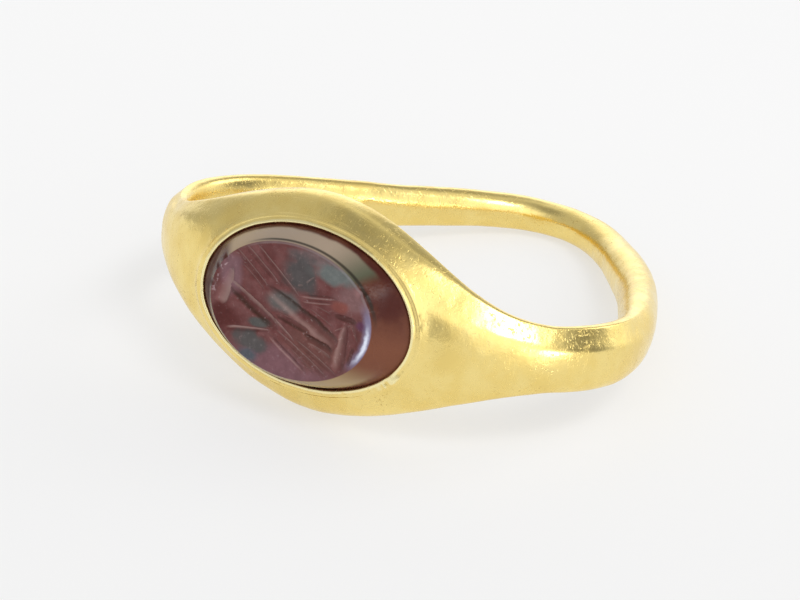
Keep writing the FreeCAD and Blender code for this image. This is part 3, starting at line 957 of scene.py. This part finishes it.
def soft_patch_group():
    """A ragged oval patch round a place."""
    tree, come, go = new_group(
        "soft_patch",
        [
            ("Vector", "NodeSocketVector", (0, 0, 0)),
            ("Centre", "NodeSocketVector", (0, 0, 0)),
            ("Reach", "NodeSocketVector", (1, 1, 1)),
            ("Ragged", "NodeSocketFloat", 0.5),
            ("Grain", "NodeSocketFloat", 1.5),
        ],
        [("Mask", "NodeSocketFloat")],
    )
    vector, centre, reach, ragged, grain = list(come.outputs)[:5]
    share = vectors(tree, "DIVIDE", vectors(tree, "SUBTRACT", vector, centre), reach)
    far = add(tree, "ShaderNodeVectorMath", {0: share}, operation="LENGTH").outputs["Value"]
    edge = maths(tree, "MULTIPLY_ADD", wobble(tree, vector, grain, ragged), 2.0, far)
    tree.links.new(ranged(tree, edge, PATCH_EDGE, PATCH_FULL), go.inputs["Mask"])
    return tree


# Gold

# The golds of the two pieces: their deep and high tones, how rough they are where bright and where dull,
# the share of their surface that can pit, how deep the pits look and how strong the lip's painted highlight
# is
HOOP_GOLD = dict(
    deep=colour(0.88, 0.67, 0.22), high=colour(0.93, 0.74, 0.28), bright=0.20, dull=0.28,
    pit_share=0.5, pit_depth=0.3, lip_highlight=0,
)
COLLAR_GOLD = dict(
    deep=colour(0.89, 0.68, 0.235), high=colour(0.94, 0.75, 0.29), bright=0.19, dull=0.27,
    pit_share=0.4, pit_depth=0.25, lip_highlight=0.85,
)
# The pits' darker tone, and the pale gold of the painted highlight on the lip's crest
PIT_TONE, LIP_HIGHLIGHT_TONE = colour(0.50, 0.31, 0.07), colour(1.0, 0.90, 0.50)
PIT_TINT = 0.45

# The levels in the setting's frame between which the painted highlight on the lip's crest comes in
LIP_HIGHLIGHT_LOW, LIP_HIGHLIGHT_HIGH = 0.03, 0.09

# How much rougher the scratches and the pits are, and how deep the scratches look
SCRATCH_DULLING, PIT_DULLING, SCRATCH_DEPTH = 0.1, 0.2, 0.07
PIT_SCALE, SCRATCH_SCALE = 6.5, 6.0

# How high the broad ripple and the fine grain look, and the depth in millimetres that a height of one shows
RIPPLE_HEIGHT, GRAIN_HEIGHT, GOLD_RELIEF = 0.6, 0.08, 0.03


def gold(name, deep, high, bright, dull, pit_share, pit_depth, lip_highlight):
    """Worn soft gold: a soft polish with pits, fine scratches, cloudy gloss and a painted highlight on the
    lip.
    """
    material, tree, shader = new_material(name)
    spot = own_place(tree, RING)
    wear = use_group(
        tree, HAND_WEAR, vector=spot, pit_scale=PIT_SCALE, pit_share=pit_share, scratch_scale=SCRATCH_SCALE
    )
    pits, scratches, cloudy = list(wear.outputs)

    tone = blend(tree, cloudy, deep, high)
    tone = blend(tree, times(tree, pits, PIT_TINT), tone, PIT_TONE)
    # A painted highlight: the lip's crest turns paler gold by its level
    if lip_highlight:
        level = add(tree, "ShaderNodeSeparateXYZ", {0: own_place(tree, SETTING)}).outputs[2]
        crest = times(tree, ranged(tree, level, LIP_HIGHLIGHT_LOW, LIP_HIGHLIGHT_HIGH), lip_highlight)
        tone = blend(tree, crest, tone, LIP_HIGHLIGHT_TONE)
    tree.links.new(tone, shader.inputs["Base Color"])

    rough = ranged(tree, cloudy, 0.0, 1.0, dull, bright)
    rough = maths(tree, "ADD", rough, times(tree, scratches, SCRATCH_DULLING))
    rough = maths(tree, "ADD", rough, times(tree, pits, PIT_DULLING))
    tree.links.new(rough, shader.inputs["Roughness"])

    ripple = times(tree, clouds(tree, spot, scale=2.0), RIPPLE_HEIGHT)
    grain = times(tree, clouds(tree, spot, scale=12.0, roughness=0.6), GRAIN_HEIGHT)
    height = maths(tree, "ADD", ripple, grain)
    height = maths(tree, "SUBTRACT", height, times(tree, pits, pit_depth))
    height = maths(tree, "SUBTRACT", height, times(tree, scratches, SCRATCH_DEPTH))
    relieve(tree, shader, height, GOLD_RELIEF)
    shader.inputs["Metallic"].default_value = 1
    return material


# The stone's colours. Turns round the stone are in degrees from its right end by the top. A band has its
# low and high value and the softness of its ends.

# The face: its dark and light ground, painted light and painted shade on the walls of the cuts, and
# painted glints, which grow stronger between two strengths of a wall's painted shading
FACE_DARK, FACE_LIGHT = colour(0.125, 0.038, 0.036), colour(0.165, 0.066, 0.064)
CUT_LIT_WALL, CUT_SHADED_WALL = colour(0.40, 0.26, 0.235), colour(0.036, 0.017, 0.010)
CUT_GLINT = colour(0.40, 0.33, 0.33)
CUT_LIT_STRENGTH, CUT_SHADED_STRENGTH = 0.8, 0.9
GLINT_ON_FACE, GLINT_IN_CUT = 0.15, 0.4
GLINT_FROM, GLINT_TO = 0.02, 0.3

# Soft patches of the face, at its level, partly the stone's own colours and partly painted reflection of the
# room on its polish: centre, reach, raggedness, colour
PATCH_LEVEL, PATCH_STRENGTH = 1.1, 0.9
FACE_PATCHES_AND_SHEEN = [
    ((-0.3, -2.1), (2.6, 0.75), 0.5, colour(0.19, 0.092, 0.108)),
    ((-2.95, 1.0), (0.55, 0.8), 0.5, colour(0.20, 0.105, 0.12)),
    ((-3.2, -0.8), (0.75, 0.6), 0.4, colour(0.085, 0.018, 0.016)),
    ((1.3, -1.1), (1.5, 1.0), 0.5, colour(0.15, 0.060, 0.052)),
    ((2.9, 1.25), (0.8, 0.6), 0.6, colour(0.21, 0.112, 0.112)),
    ((0.75, 2.45), (1.1, 0.3), 0.5, colour(0.17, 0.11, 0.11)),
    ((0.35, 1.75), (0.85, 0.85), 0.6, colour(0.075, 0.073, 0.073)),
    ((2.0, 2.05), (1.15, 0.42), 0.6, colour(0.14, 0.165, 0.16)),
    ((-0.35, 0.42), (0.8, 0.45), 0.5, colour(0.12, 0.115, 0.11)),
    ((-1.75, -1.5), (0.85, 0.42), 0.7, colour(0.085, 0.085, 0.083)),
    ((-1.45, -0.68), (0.5, 0.2), 0.6, colour(0.085, 0.09, 0.085)),
    ((-1.85, -2.1), (0.5, 0.3), 0.5, colour(0.08, 0.10, 0.12)),
    ((2.35, 0.82), (0.42, 0.24), 0.6, colour(0.22, 0.065, 0.052)),
    ((3.4, 0.3), (0.3, 0.22), 0.5, colour(0.105, 0.035, 0.075)),
]

# The crown, by its level as a share from the girdle to the face: the red layer with a painted reflection of
# the gold at the right end, the pale band over the upper side from green grey to warm and the one over the
# lower side, each the stone's pale layer with a painted reflection of the bright room, and painted shade as
# a dark line under the face
CROWN_DARK, CROWN_RED = colour(0.062, 0.013, 0.009), colour(0.10, 0.030, 0.017)
CROWN_GOLD_REFLECTION, GOLD_REFLECTION_TURNS = colour(0.165, 0.060, 0.034), (-48, 2, 16)
GREEN_LAYER_AND_REFLECTION, PALE_LAYER_AND_REFLECTION = colour(0.08, 0.088, 0.055), colour(0.35, 0.27, 0.20)
WARM_LAYER_AND_REFLECTION = colour(0.44, 0.32, 0.20)
UPPER_TURNS, UPPER_LEVELS = (41, 144, 5), (0.38, 1.3, 0.07)
PALE_FROM, PALE_TO, WARM_FROM, WARM_TO = 40, 74, 104, 138
LOWER_LAYER_AND_REFLECTION = colour(0.36, 0.25, 0.13)
LOWER_TURNS, LOWER_LEVELS = (-125, -42, 14), (0.42, 1.3, 0.1)
UNDER_FACE_SHADE, SHADE_LINE_STRENGTH = colour(0.022, 0.018, 0.013), 0.85
SHADE_LINE_TURNS, SHADE_LINE_LEVELS = (12, 118, 14), (0.90, 0.985, 0.03)
LAYER_WAVE = 0.2

# How far under the face the crown's levels end
CROWN_DROP = 0.06

# The face's edge, by the distance from its middle as a share of its reach: where the crown takes over, a
# painted highlight along the rim at the top, the bluish crescent of painted reflection at the right end with
# its painted highlight line, and flecks at the left end
FACE_ENDS, CROWN_STARTS = 0.985, 1.0
EDGE_RIM_HIGHLIGHT, EDGE_RIM_HIGHLIGHT_STRENGTH = colour(0.33, 0.30, 0.30), 0.3
EDGE_RIM_HIGHLIGHT_BAND, EDGE_RIM_HIGHLIGHT_TURNS = (0.962, 0.99, 0.01), (16, 122, 16)
CRESCENT_REFLECTION, CRESCENT_STRENGTH = colour(0.26, 0.255, 0.40), 0.7
CRESCENT_FROM, CRESCENT_TO, CRESCENT_TURNS = 0.87, 0.955, (-35, 18, 10)
CRESCENT_WAVE = 0.05
EDGE_LINE_HIGHLIGHT, EDGE_LINE_HIGHLIGHT_STRENGTH = colour(0.82, 0.86, 1.0), 0.95
EDGE_LINE_HIGHLIGHT_BAND, EDGE_LINE_HIGHLIGHT_TURNS = (0.935, 0.975, 0.018), (-27, 0, 10)
FLECK_TONE, FLECK_STRENGTH = colour(0.5, 0.36, 0.38), 0.75
FLECK_BAND, FLECK_TURNS = (0.93, 0.985, 0.01), (146, 180, 6)

# The stone's polish: how rough the smears make it, how dull its ends are beyond the face, the height of
# the finest grain and the depth in millimetres that a height of one shows
SMEAR_LOW, SMEAR_HIGH = 0.12, 0.22
DULL_FROM, DULL_TO, DULL_ENDS = 0.98, 1.08, 0.4
FINEST_HEIGHT, STONE_RELIEF = 0.4, 0.008
STONE_IOR, STONE_SHEEN = 1.54, 0.12


def stone_face(tree, spot):
    """Colour of the face: purple-red with ragged grey-green, lilac and brown areas, partly painted
    reflection, and the painted light and shade of the cuts' walls.
    """
    ground = mottled(tree, spot, scale=1.6, low=0.3, high=0.7, detail=5.0, roughness=0.6)
    tone = blend(tree, ground, FACE_DARK, FACE_LIGHT)
    # Patches of the stone's colour and of painted reflection on the polished face
    for (x, y), (reach_x, reach_y), ragged, patch in FACE_PATCHES_AND_SHEEN:
        centre, reach = (x, y, PATCH_LEVEL), (reach_x, reach_y, 1)
        mask = use_group(tree, SOFT_PATCH, vector=spot, centre=centre, reach=reach, ragged=ragged).outputs[0]
        tone = blend(tree, times(tree, mask, PATCH_STRENGTH), tone, patch)
    shade = mottled(tree, spot, scale=3.0, low=0.3, high=0.7, roughness=0.6, to_low=0.9, to_high=1.1)
    shade = add(tree, "ShaderNodeCombineColor", {0: shade, 1: shade, 2: shade}).outputs[0]
    tone = blend(tree, 1.0, tone, shade, "MULTIPLY")
    # Painted light on one wall of each cut and painted shade on the other, with painted glints over them
    cut_shading = add(tree, "ShaderNodeAttribute", attribute_name="cut_shading").outputs["Fac"]
    tone = blend(tree, ranged(tree, cut_shading, 0.0, 1.0, 0.0, CUT_LIT_STRENGTH), tone, CUT_LIT_WALL)
    tone = blend(tree, ranged(tree, cut_shading, 0.0, -1.0, 0.0, CUT_SHADED_STRENGTH), tone, CUT_SHADED_WALL)
    glints = mottled(tree, spot, scale=6.0, low=0.58, high=0.72, detail=4.0, roughness=0.65)
    marked = maths(tree, "ABSOLUTE", cut_shading)
    strength = ranged(tree, marked, GLINT_FROM, GLINT_TO, GLINT_ON_FACE, GLINT_IN_CUT)
    return blend(tree, times(tree, glints, strength), tone, CUT_GLINT)


def stone_crown(tree, spot, turn, level):
    """Colour of the sloping crown: a red layer with a painted reflection of the gold, pale layers with
    painted reflection above it, and painted shade as a dark line under the face.
    """
    wavy = maths(tree, "ADD", wobble(tree, spot, scale=0.9, amount=LAYER_WAVE, detail=2.0), level)
    cloudy = mottled(tree, spot, scale=1.1, low=0.35, high=0.65, detail=4.0)
    tone = blend(tree, cloudy, CROWN_DARK, CROWN_RED)
    # Painted reflection of the gold at the crown's right end
    tone = blend(tree, band(tree, turn, *GOLD_REFLECTION_TURNS), tone, CROWN_GOLD_REFLECTION)
    # Pale bands: the stone's layer with a painted reflection of the bright room over it
    pale = blend(tree, ranged(tree, turn, PALE_FROM, PALE_TO), GREEN_LAYER_AND_REFLECTION, PALE_LAYER_AND_REFLECTION)
    pale = blend(tree, ranged(tree, turn, WARM_FROM, WARM_TO), pale, WARM_LAYER_AND_REFLECTION)
    upper = times(tree, band(tree, wavy, *UPPER_LEVELS), band(tree, turn, *UPPER_TURNS))
    tone = blend(tree, upper, tone, pale)
    lower = times(tree, band(tree, wavy, *LOWER_LEVELS), band(tree, turn, *LOWER_TURNS))
    tone = blend(tree, lower, tone, LOWER_LAYER_AND_REFLECTION)
    # Painted shade under the face's edge, as a dark line
    line = times(tree, band(tree, level, *SHADE_LINE_LEVELS), band(tree, turn, *SHADE_LINE_TURNS))
    return blend(tree, times(tree, line, SHADE_LINE_STRENGTH), tone, UNDER_FACE_SHADE)


def stone_edge(tree, spot, tone, turn, away):
    """The stone's colour with the marks of the face's worn edge over it: painted highlights, a painted
    reflection and flecks.
    """
    # Painted highlight along the top of the face's rounded edge
    rim_highlight = times(tree, band(tree, away, *EDGE_RIM_HIGHLIGHT_BAND), band(tree, turn, *EDGE_RIM_HIGHLIGHT_TURNS))
    tone = blend(tree, times(tree, rim_highlight, EDGE_RIM_HIGHLIGHT_STRENGTH), tone, EDGE_RIM_HIGHLIGHT)
    # Painted reflection as a bluish crescent at the right end
    ragged = maths(tree, "ADD", away, wobble(tree, spot, scale=4.0, amount=CRESCENT_WAVE))
    inward = ranged(tree, ragged, CRESCENT_FROM, CRESCENT_TO)
    crescent = times(tree, inward, ranged(tree, away, CROWN_STARTS, FACE_ENDS))
    crescent = times(tree, crescent, band(tree, turn, *CRESCENT_TURNS))
    tone = blend(tree, times(tree, crescent, CRESCENT_STRENGTH), tone, CRESCENT_REFLECTION)
    # Painted highlight as a bright line in the crescent
    bright = times(tree, band(tree, ragged, *EDGE_LINE_HIGHLIGHT_BAND), band(tree, turn, *EDGE_LINE_HIGHLIGHT_TURNS))
    tone = blend(tree, times(tree, bright, EDGE_LINE_HIGHLIGHT_STRENGTH), tone, EDGE_LINE_HIGHLIGHT)
    flecks = times(tree, band(tree, away, *FLECK_BAND), band(tree, turn, *FLECK_TURNS))
    flecks = times(tree, flecks, mottled(tree, spot, scale=5.0, low=0.52, high=0.66, roughness=0.6))
    return blend(tree, times(tree, flecks, FLECK_STRENGTH), tone, FLECK_TONE)


def layered_stone():
    """The stone's material: layers by level round the crown, patches on the face and a bluish worn edge,
    with painted reflections, highlights and shade among them.
    """
    material, tree, shader = new_material("layered_stone")
    spot = own_place(tree, SETTING)
    x, y, z = add(tree, "ShaderNodeSeparateXYZ", {0: spot}).outputs
    x = maths(tree, "DIVIDE", x, FACE.x)
    y = maths(tree, "DIVIDE", maths(tree, "SUBTRACT", y, FACE_UP), FACE.y)
    away = maths(tree, "SQRT", maths(tree, "ADD", times(tree, x, x), times(tree, y, y)))
    turn = times(tree, maths(tree, "ARCTAN2", y, x), 180 / math.pi)
    crown_top = FACE_LEVEL - CROWN_DROP
    level = add(tree, "ShaderNodeMapRange", {0: z, 1: GIRDLE_LEVEL, 2: crown_top}).outputs[0]
    off_face = ranged(tree, away, FACE_ENDS, CROWN_STARTS)
    tone = blend(tree, off_face, stone_face(tree, spot), stone_crown(tree, spot, turn, level))
    tree.links.new(stone_edge(tree, spot, tone, turn, away), shader.inputs["Base Color"])

    smear = mottled(
        tree, spot, scale=3.0, low=0.3, high=0.7, detail=4.0, to_low=SMEAR_LOW, to_high=SMEAR_HIGH
    )
    dull_ends = ranged(tree, maths(tree, "ABSOLUTE", x), DULL_FROM, DULL_TO, 0.0, DULL_ENDS)
    tree.links.new(maths(tree, "ADD", smear, dull_ends), shader.inputs["Roughness"])
    finest = times(tree, clouds(tree, spot, scale=30.0, detail=2.0), FINEST_HEIGHT)
    relieve(tree, shader, maths(tree, "ADD", clouds(tree, spot, scale=9.0), finest), STONE_RELIEF)
    shader.inputs["IOR"].default_value = STONE_IOR
    shader.inputs["Specular IOR Level"].default_value = STONE_SHEEN
    return material


# The cement's dark and pale grit, how rough each is, and the depth that a height of one shows
CEMENT_DARK, CEMENT_PALE = colour(0.30, 0.24, 0.17), colour(0.45, 0.38, 0.28)
DARK_ROUGHNESS, PALE_ROUGHNESS, CEMENT_RELIEF = 0.75, 0.95, 0.04


def setting_cement():
    """Dull mineral filling under the stone."""
    material, tree, shader = new_material("setting_cement")
    grit = clouds(tree, own_place(tree, SETTING), scale=6.0, detail=5.0)
    tree.links.new(blend(tree, grit, CEMENT_DARK, CEMENT_PALE), shader.inputs["Base Color"])
    rough = ranged(tree, grit, 0.0, 1.0, DARK_ROUGHNESS, PALE_ROUGHNESS)
    tree.links.new(rough, shader.inputs["Roughness"])
    relieve(tree, shader, grit, CEMENT_RELIEF)
    return material


# Table, light and camera

# The table's size in metres, its tone, the share of its own glow that the camera and the metal see, and
# how much weaker the glow is near the camera, from and to places in millimetres towards it
TABLE_SIZE, TABLE_TONE = 1.6, colour(0.88, 0.88, 0.88)
GLOW_SHARE, NEAR_GLOW, GLOW_FROM, GLOW_TO = 0.58, 0.93, -25, 30

# The room round the table, as soft lobes on an even tent: turn from the front to the right, rise,
# reach in degrees and how much brighter or darker
ROOM_LOBES = [
    (48, 30, 55, 0.60),
    (180, 5, 70, 0.45),
    (-65, 28, 70, -0.27),
    (-105, 0, 35, -0.14),
    (-140, 7, 34, 0.35),
    (8, 6, 26, -0.50),
    (118, 20, 30, -0.65),
    (179, 35, 36, -0.80),
    (-15, 82, 40, -0.36),
]
TENT = 0.84

# The lamps: name, turn from the front to the right, rise, width and height in metres, and power
LAMPS = [
    ("key_light", 77, 54, 0.24, 0.15, 0.7),
    ("low_strip", 76, 3, 0.22, 0.09, 0.8),
    ("back_light", 150, 28, 0.3, 0.3, 0.5),
]
LAMP_DISTANCE = 0.6


def direction_to(turn, rise):
    """The direction with a turn from the front to the right and a rise, in degrees."""
    turn, rise = math.radians(turn), math.radians(rise)
    return Vector((math.sin(turn) * math.cos(rise), -math.cos(turn) * math.cos(rise), math.sin(rise)))


def pale_table():
    """A white table that also fills the view behind the ring and keeps its shadow."""
    bpy.ops.mesh.primitive_plane_add(size=TABLE_SIZE)
    table = take("pale_table")
    material = bpy.data.materials.new("pale_table")
    material.use_nodes = True
    tree = material.node_tree
    tree.nodes.clear()
    spot = add(tree, "ShaderNodeTexCoord").outputs["Object"]
    nearer = vectors(tree, "DOT_PRODUCT", spot, direction_to(CAMERA_TURN, 0))
    strength = ranged(tree, nearer, GLOW_FROM * MM, GLOW_TO * MM, 1.0, NEAR_GLOW)
    matt = add(tree, "ShaderNodeBsdfDiffuse", {"Color": TABLE_TONE}).outputs[0]
    glow = add(tree, "ShaderNodeEmission", {"Color": colour(1, 1, 1), "Strength": strength}).outputs[0]
    rays = add(tree, "ShaderNodeLightPath").outputs
    mirrored = maths(tree, "MAXIMUM", rays["Is Glossy Ray"], rays["Is Transmission Ray"])
    seen = maths(tree, "MAXIMUM", rays["Is Camera Ray"], mirrored)
    both = add(tree, "ShaderNodeMixShader", {0: times(tree, seen, GLOW_SHARE), 1: matt, 2: glow})
    add(tree, "ShaderNodeOutputMaterial", {"Surface": both.outputs[0]})
    table.data.materials.append(material)


def studio_world():
    """White where the camera looks past the table, and a soft room for the metal to reflect."""
    world = bpy.data.worlds.new("studio")
    bpy.context.scene.world = world
    world.use_nodes = True
    tree = world.node_tree
    tree.nodes.clear()
    direction = add(tree, "ShaderNodeTexCoord").outputs["Generated"]
    level = TENT
    for turn, rise, reach, amount in ROOM_LOBES:
        near = vectors(tree, "DOT_PRODUCT", direction, direction_to(turn, rise))
        lobe = ranged(tree, near, math.cos(math.radians(reach)), 1.0)
        level = maths(tree, "MULTIPLY_ADD", lobe, amount, level)
    grey = add(tree, "ShaderNodeCombineColor", {0: level, 1: level, 2: level}).outputs[0]
    camera_ray = add(tree, "ShaderNodeLightPath").outputs["Is Camera Ray"]
    seen = blend(tree, camera_ray, grey, colour(1, 1, 1))
    back = add(tree, "ShaderNodeBackground", {"Color": seen, "Strength": 1.0})
    add(tree, "ShaderNodeOutputWorld", {"Surface": back.outputs[0]})


def soft_light(name, turn, rise, width, height, power):
    """A flat soft lamp that faces the ring."""
    away = direction_to(turn, rise)
    bpy.ops.object.light_add(type="AREA", location=away * LAMP_DISTANCE)
    light = bpy.context.object
    light.name = name
    light.rotation_euler = away.to_track_quat("Z", "Y").to_euler()
    light.data.shape = "RECTANGLE"
    light.data.size = width
    light.data.size_y = height
    light.data.energy = power


def make_camera():
    """The camera at the photograph's place, turned a little about its own axis."""
    away = direction_to(CAMERA_TURN, CAMERA_RISE)
    right = direction_to(CAMERA_TURN + 90, 0)
    up = away.cross(right)
    spot = (ring_centre + away * CAMERA_DISTANCE + right * CAMERA_RIGHT + up * CAMERA_UP) * MM
    upright = Matrix((right, up, away)).transposed().to_4x4()
    roll = Matrix.Rotation(math.radians(CAMERA_ROLL), 4, "Z")
    bpy.ops.object.camera_add()
    camera = bpy.context.object
    camera.name = "camera"
    camera.matrix_world = Matrix.Translation(spot) @ upright @ roll
    camera.data.sensor_width = CAMERA_SENSOR
    camera.data.lens = CAMERA_LENS
    camera.data.clip_start = CAMERA_NEAR
    camera.data.clip_end = CAMERA_FAR
    bpy.context.scene.camera = camera


def dress(piece, material, node):
    """Gives a finished piece its material and its node's place in the frame."""
    piece.data.materials.clear()
    piece.data.materials.append(material)
    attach(piece, "root")
    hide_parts(node)


HAND_WEAR = hand_wear_group()
SOFT_PATCH = soft_patch_group()

dress(make_hoop(), gold("hoop_gold", **HOOP_GOLD), "hoop")
dress(make_collar(), gold("collar_gold", **COLLAR_GOLD), "collar")
dress(make_stone(), layered_stone(), "gem")
bedding = frame["nodes"]["bedding"]
bedding.data.materials.clear()
bedding.data.materials.append(setting_cement())

pale_table()
studio_world()
for lamp in LAMPS:
    soft_light(*lamp)
make_camera()

view = bpy.context.scene.view_settings
view.view_transform = "Standard"
